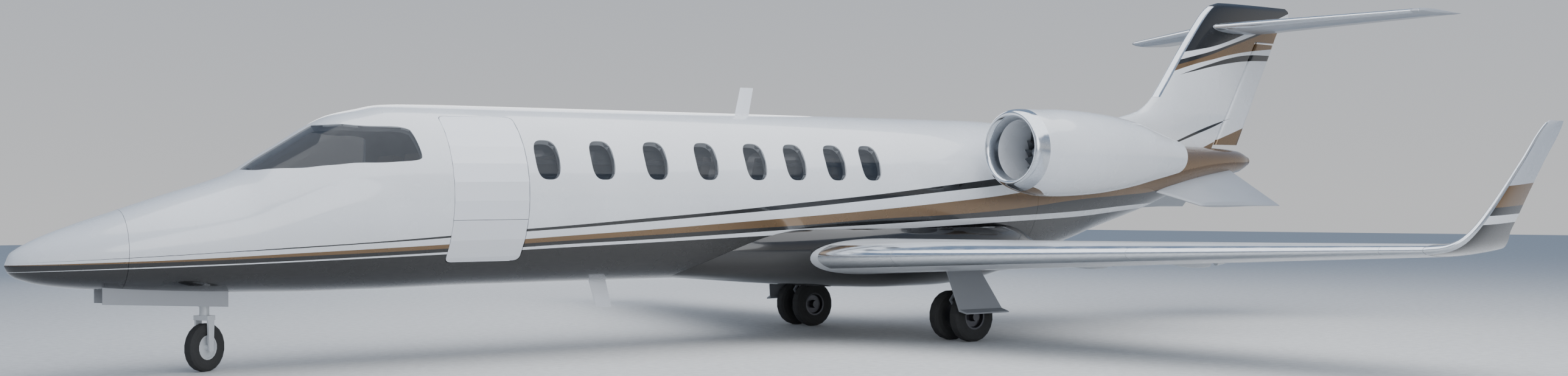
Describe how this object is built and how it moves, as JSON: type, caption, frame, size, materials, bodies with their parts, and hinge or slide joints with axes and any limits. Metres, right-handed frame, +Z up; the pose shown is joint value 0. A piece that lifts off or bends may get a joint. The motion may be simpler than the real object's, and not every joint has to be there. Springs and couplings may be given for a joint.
{
  "type": "business jet",
  "caption": "Light twin-engined business jet parked on its wheels, with opening entry door, steering nose wheel, control surfaces and fans.",
  "frame": {"origin": "on the ground below the middle of the aircraft's length and span", "axes": "+X aft, towards the tail; +Y to starboard, the aircraft's right; +Z up"},
  "size_m": [17.566, 14.5962, 4.25],
  "materials": {
    "white_enamel": "gloss white polyurethane enamel over aluminium skins, cool in tone",
    "gold_enamel": "dark metallic gold enamel over aluminium skins",
    "fin_enamel": "gloss white enamel with black and gold bands over aluminium skins",
    "ventral_enamel": "light grey enamel",
    "belly_composite": "gloss black enamel over a moulded composite fairing",
    "tinted_glass": "polished and tinted",
    "carpet": "cut pile",
    "panel_plastic": "moulded, matt black",
    "seat_leather": "smooth tan leather",
    "wing_enamel": "satin grey enamel with a polished leading edge",
    "tail_enamel": "grey enamel with a polished leading edge",
    "nacelle_enamel": "gloss white enamel with a polished intake lip",
    "engine_alloy": "dark heat-stained alloy",
    "fan_titanium": "satin machined metal",
    "nose_gear_enamel": "grey gear enamel",
    "main_gear_enamel": "grey gear enamel, worn",
    "wheel_alloy": "dark anodised forging",
    "tyre_rubber": "black rubber, matt",
    "aerial_plastic": "painted moulding"
  },
  "bodies": {
    "airframe": {"aerial_bottom": "aerial_plastic", "aerial_top": "aerial_plastic", "belly_fairing": "belly_composite", "cabin_floor": "carpet", "cabin_seats_port": "seat_leather", "cabin_seats_starboard": "seat_leather", "cabin_windows_port": "tinted_glass", "cabin_windows_starboard": "tinted_glass", "crew_seat_port": "seat_leather", "crew_seat_starboard": "seat_leather", "engine_core_port": "engine_alloy", "engine_core_starboard": "engine_alloy", "fin": "fin_enamel", "fuselage": "white_enamel", "instrument_panel": "panel_plastic", "main_gear_door_port": "main_gear_enamel", "main_gear_door_starboard": "main_gear_enamel", "main_leg_port": "main_gear_enamel", "main_leg_starboard": "main_gear_enamel", "nacelle_port": "nacelle_enamel", "nacelle_starboard": "nacelle_enamel", "nose_gear_door_port": "main_gear_enamel", "nose_gear_door_starboard": "main_gear_enamel", "nose_leg": "nose_gear_enamel", "pylon_port": "nacelle_enamel", "pylon_starboard": "nacelle_enamel", "radome": "white_enamel", "tail_section": "gold_enamel", "tailplane": "tail_enamel", "ventral_fin_port": "ventral_enamel", "ventral_fin_starboard": "ventral_enamel", "windshield_port": "tinted_glass", "windshield_starboard": "tinted_glass", "wing_port": "wing_enamel", "wing_starboard": "wing_enamel", "winglet_port": "wing_enamel", "winglet_starboard": "wing_enamel"},
    "nose_steering": {"nose_fork": "nose_gear_enamel"},
    "nose_wheel": {"nose_wheel": "nose_gear_enamel", "nose_tyre": "tyre_rubber"},
    "main_wheels_port": {"main_wheel_port": "wheel_alloy", "main_tyre_port_outer": "tyre_rubber", "main_tyre_port_inner": "tyre_rubber"},
    "main_wheels_starboard": {"main_wheel_starboard": "wheel_alloy", "main_tyre_starboard_outer": "tyre_rubber", "main_tyre_starboard_inner": "tyre_rubber"},
    "fan_port": {"fan_port": "fan_titanium"},
    "fan_starboard": {"fan_starboard": "fan_titanium"},
    "door_upper": {"entry_door_upper": "white_enamel"},
    "door_lower": {"entry_door_lower": "white_enamel"},
    "flap_port": {"flap_port": "wing_enamel"},
    "flap_starboard": {"flap_starboard": "wing_enamel"},
    "aileron_port": {"aileron_port": "wing_enamel"},
    "aileron_starboard": {"aileron_starboard": "wing_enamel"},
    "elevator_port": {"elevator_port": "tail_enamel"},
    "elevator_starboard": {"elevator_starboard": "tail_enamel"},
    "rudder": {"rudder": "fin_enamel"}
  },
  "joints": [
    {"name": "nose_steer", "type": "hinge", "parent": "airframe", "child": "nose_steering", "pos_m": [-7.049, 0, 0.6], "axis": [0, 0, 1], "range_deg": [-90, 30]},
    {"name": "nose_wheel_spin", "type": "hinge", "parent": "nose_steering", "child": "nose_wheel", "pos_m": [-7.049, 0, 0.2225], "axis": [-0.5, 0.866, 0], "continuous": true},
    {"name": "main_wheels_spin_port", "type": "hinge", "parent": "airframe", "child": "main_wheels_port", "pos_m": [0.942, -1.4295, 0.272], "axis": [0, 1, 0], "continuous": true},
    {"name": "main_wheels_spin_starboard", "type": "hinge", "parent": "airframe", "child": "main_wheels_starboard", "pos_m": [0.942, 1.4295, 0.272], "axis": [0, 1, 0], "continuous": true},
    {"name": "fan_spin_port", "type": "hinge", "parent": "airframe", "child": "fan_port", "pos_m": [2.197, -1.47, 2.085], "axis": [1, 0, 0], "continuous": true},
    {"name": "fan_spin_starboard", "type": "hinge", "parent": "airframe", "child": "fan_starboard", "pos_m": [2.197, 1.47, 2.085], "axis": [1, 0, 0], "continuous": true},
    {"name": "door_upper_hinge", "type": "hinge", "parent": "airframe", "child": "door_upper", "pos_m": [-4.498, -0.45472, 2.39446], "axis": [-1, 0, 0], "range_deg": [0, 105]},
    {"name": "door_lower_hinge", "type": "hinge", "parent": "airframe", "child": "door_lower", "pos_m": [-4.498, -0.60179, 0.97767], "axis": [1, 0, 0], "range_deg": [0, 110]},
    {"name": "flap_hinge_port", "type": "hinge", "parent": "airframe", "child": "flap_port", "pos_m": [1.577, -1.06, 0.9299], "axis": [-0.0346, 0.999, -0.0267], "range_deg": [0, 35]},
    {"name": "flap_hinge_starboard", "type": "hinge", "parent": "airframe", "child": "flap_starboard", "pos_m": [1.577, 1.06, 0.9299], "axis": [0.0346, 0.999, 0.0267], "range_deg": [0, 35]},
    {"name": "aileron_hinge_port", "type": "hinge", "parent": "airframe", "child": "aileron_port", "pos_m": [1.717, -4.6, 1.02416], "axis": [-0.0548, 0.9981, -0.0265], "range_deg": [-20, 15]},
    {"name": "aileron_hinge_starboard", "type": "hinge", "parent": "airframe", "child": "aileron_starboard", "pos_m": [1.717, 4.6, 1.02416], "axis": [0.0548, 0.9981, 0.0265], "range_deg": [-20, 15]},
    {"name": "elevator_hinge_port", "type": "hinge", "parent": "airframe", "child": "elevator_port", "pos_m": [7.73777, -0.165, 3.89519], "axis": [-0.3349, 0.9419, -0.0239], "range_deg": [-20, 15]},
    {"name": "elevator_hinge_starboard", "type": "hinge", "parent": "airframe", "child": "elevator_starboard", "pos_m": [7.73777, 0.165, 3.89519], "axis": [0.3349, 0.9419, 0.0239], "range_deg": [-20, 15]},
    {"name": "rudder_hinge", "type": "hinge", "parent": "airframe", "child": "rudder", "pos_m": [6.907, 0, 2.3], "axis": [0.5145, 0, 0.8575], "range_deg": [-25, 25]}
  ]
}
